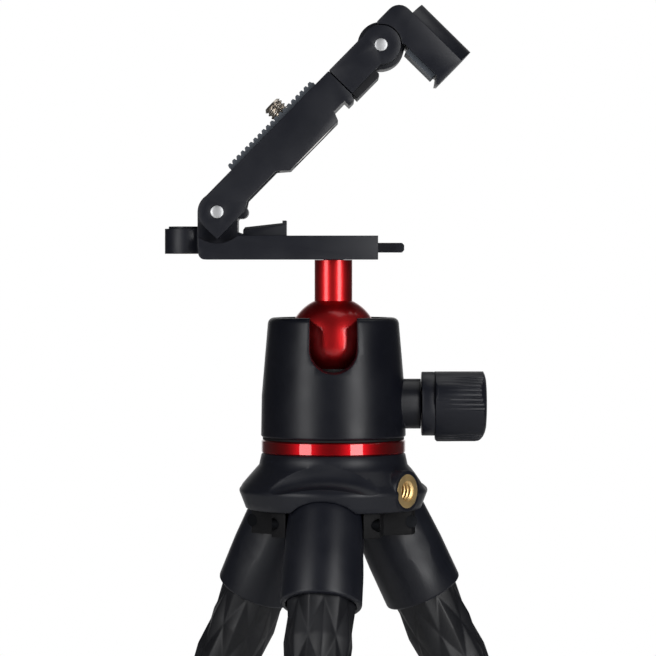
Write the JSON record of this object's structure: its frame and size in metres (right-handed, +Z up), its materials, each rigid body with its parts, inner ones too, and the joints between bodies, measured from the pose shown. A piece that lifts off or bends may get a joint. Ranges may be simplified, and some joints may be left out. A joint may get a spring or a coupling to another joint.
{
  "type": "flexible leg tripod",
  "caption": "Table tripod with bendable rubber legs on a hinged hub, a ball head with side lock knob and tilt notch, and a folding spring-jaw holder with camera screw.",
  "frame": {"origin": "middle of the overall box on the floor that the three feet stand on", "axes": "+Z up along the head's turning axis, +X towards the lock knob, -Y towards the tilt notch and the viewer of the picture"},
  "size_m": [0.1943, 0.182, 0.3321],
  "materials": {
    "satin_black": "satin black moulded plastic",
    "black_alloy": "satin black coated alloy",
    "red_anodised": "satin red anodised",
    "red_ring": "polished red anodised",
    "steel": "bright turned steel",
    "brass": "plain turned brass",
    "nylon": "black nylon",
    "leg_rubber": "matte black rubber",
    "grey_rubber": "matte blue-grey rubber",
    "core_wire": "soft bright wire"
  },
  "bodies": {
    "hub": {"hub_shell": "satin_black", "leg_yoke": "satin_black", "yoke_screws": "steel", "leg_pins": "steel", "side_insert": "brass", "hub_bolt": "steel", "pan_nut": "steel", "pan_ring": "red_ring", "pan_washer": "nylon"},
    "head": {"head_body": "black_alloy", "ball_retainer": "black_alloy", "ball_cup": "satin_black", "clamp_wedge": "steel"},
    "knob": {"lock_screw": "steel", "knob_collar": "satin_black", "lock_knob": "satin_black"},
    "ball": {"ball_stem": "red_anodised", "stem_stud": "steel"},
    "holder": {"holder_base": "satin_black", "base_insert": "brass", "boss_insert": "brass", "latch_tongue": "satin_black", "support_pad": "leg_rubber", "lower_hinge_pin": "steel"},
    "arm": {"arm_channel": "satin_black", "ribbed_pad": "grey_rubber"},
    "screw": {"camera_screw": "steel"},
    "slide": {"slider": "satin_black", "slider_springs": "steel", "slider_pad": "leg_rubber", "upper_hinge_pin": "steel"},
    "jaw": {"jaw": "satin_black", "jaw_pad": "grey_rubber"},
    "leg_1_top": {"sleeve_1": "satin_black", "grip_1a": "leg_rubber", "core_1": "core_wire"},
    "leg_1_upper": {"grip_1b": "leg_rubber"},
    "leg_1_middle": {"grip_1c": "leg_rubber"},
    "leg_1_end": {"grip_1d": "leg_rubber", "foot_1": "leg_rubber"},
    "leg_2_top": {"sleeve_2": "satin_black", "grip_2a": "leg_rubber", "core_2": "core_wire"},
    "leg_2_upper": {"grip_2b": "leg_rubber"},
    "leg_2_middle": {"grip_2c": "leg_rubber"},
    "leg_2_end": {"grip_2d": "leg_rubber", "foot_2": "leg_rubber"},
    "leg_3_top": {"sleeve_3": "satin_black", "grip_3a": "leg_rubber", "core_3": "core_wire"},
    "leg_3_upper": {"grip_3b": "leg_rubber"},
    "leg_3_middle": {"grip_3c": "leg_rubber"},
    "leg_3_end": {"grip_3d": "leg_rubber", "foot_3": "leg_rubber"}
  },
  "joints": [
    {"name": "head_pan", "type": "hinge", "parent": "hub", "child": "head", "pos_m": [-0.00602, 0.01931, 0.1974], "axis": [0, 0, 1], "continuous": true},
    {"name": "knob_turn", "type": "hinge", "parent": "head", "child": "knob", "pos_m": [0.02118, 0.01931, 0.20775], "axis": [1, 0, 0], "range_deg": [0, 270]},
    {"name": "ball_tilt", "type": "hinge", "parent": "head", "child": "ball", "pos_m": [-0.00602, 0.01931, 0.2272], "axis": [1, 0, 0], "range_deg": [-33, 90]},
    {"name": "holder_turn", "type": "hinge", "parent": "ball", "child": "holder", "pos_m": [-0.00602, 0.01931, 0.25265], "axis": [0, 0, 1], "continuous": true},
    {"name": "arm_fold", "type": "hinge", "parent": "holder", "child": "arm", "pos_m": [-0.04192, 0.01931, 0.26745], "axis": [0, 1, 0], "range_deg": [-44.5, 45.5]},
    {"name": "screw_turn", "type": "hinge", "parent": "arm", "child": "screw", "pos_m": [-0.02118, 0.01931, 0.29697], "axis": [-0.7133, 0, 0.7009], "continuous": true},
    {"name": "arm_slide", "type": "slide", "parent": "arm", "child": "slide", "axis": [0.7009, 0, 0.7133], "range_m": [0, 0.022], "deforming": ["slider_springs"]},
    {"name": "jaw_fold", "type": "hinge", "parent": "slide", "child": "jaw", "pos_m": [0.00868, 0.01931, 0.31894], "axis": [0, 1, 0], "range_deg": [0, 68]},
    {"name": "leg_1_swing", "type": "hinge", "parent": "hub", "child": "leg_1_top", "pos_m": [-0.00836, 0.00025, 0.17145], "axis": [0.9925, -0.1219, 0], "range_deg": [0, 27.5]},
    {"name": "leg_1_bend_a", "type": "hinge", "parent": "leg_1_top", "child": "leg_1_upper", "pos_m": [-0.01111, -0.02211, 0.12625], "axis": [-0.9925, 0.1219, 0], "range_deg": [-15, 25], "deforming": ["core_1"]},
    {"name": "leg_1_bend_b", "type": "hinge", "parent": "leg_1_upper", "child": "leg_1_middle", "pos_m": [-0.01339, -0.04071, 0.08866], "axis": [-0.1091, -0.8883, 0.4462], "range_deg": [-25, 25], "deforming": ["core_1"]},
    {"name": "leg_1_bend_c", "type": "hinge", "parent": "leg_1_middle", "child": "leg_1_end", "pos_m": [-0.01568, -0.05931, 0.05108], "axis": [-0.9925, 0.1219, 0], "range_deg": [-15, 25], "deforming": ["core_1"]},
    {"name": "leg_2_swing", "type": "hinge", "parent": "hub", "child": "leg_2_top", "pos_m": [0.01165, 0.02681, 0.17145], "axis": [-0.3907, 0.9205, 0], "range_deg": [0, 27.5]},
    {"name": "leg_2_bend_a", "type": "hinge", "parent": "leg_2_top", "child": "leg_2_upper", "pos_m": [0.03239, 0.03562, 0.12625], "axis": [0.3907, -0.9205, 0], "range_deg": [-15, 25], "deforming": ["core_2"]},
    {"name": "leg_2_bend_b", "type": "hinge", "parent": "leg_2_upper", "child": "leg_2_middle", "pos_m": [0.04964, 0.04294, 0.08866], "axis": [0.8238, 0.3497, 0.4462], "range_deg": [-25, 25], "deforming": ["core_2"]},
    {"name": "leg_2_bend_c", "type": "hinge", "parent": "leg_2_middle", "child": "leg_2_end", "pos_m": [0.06689, 0.05026, 0.05108], "axis": [0.3907, -0.9205, 0], "range_deg": [-15, 25], "deforming": ["core_2"]},
    {"name": "leg_3_swing", "type": "hinge", "parent": "hub", "child": "leg_3_top", "pos_m": [-0.02136, 0.03087, 0.17145], "axis": [-0.6018, -0.7986, 0], "range_deg": [0, 27.5]},
    {"name": "leg_3_bend_a", "type": "hinge", "parent": "leg_3_top", "child": "leg_3_upper", "pos_m": [-0.03935, 0.04443, 0.12625], "axis": [0.6018, 0.7986, 0], "range_deg": [-15, 25], "deforming": ["core_3"]},
    {"name": "leg_3_bend_b", "type": "hinge", "parent": "leg_3_upper", "child": "leg_3_middle", "pos_m": [-0.05432, 0.0557, 0.08866], "axis": [-0.7147, 0.5386, 0.4462], "range_deg": [-25, 25], "deforming": ["core_3"]},
    {"name": "leg_3_bend_c", "type": "hinge", "parent": "leg_3_middle", "child": "leg_3_end", "pos_m": [-0.06929, 0.06698, 0.05108], "axis": [0.6018, 0.7986, 0], "range_deg": [-15, 25], "deforming": ["core_3"]}
  ]
}
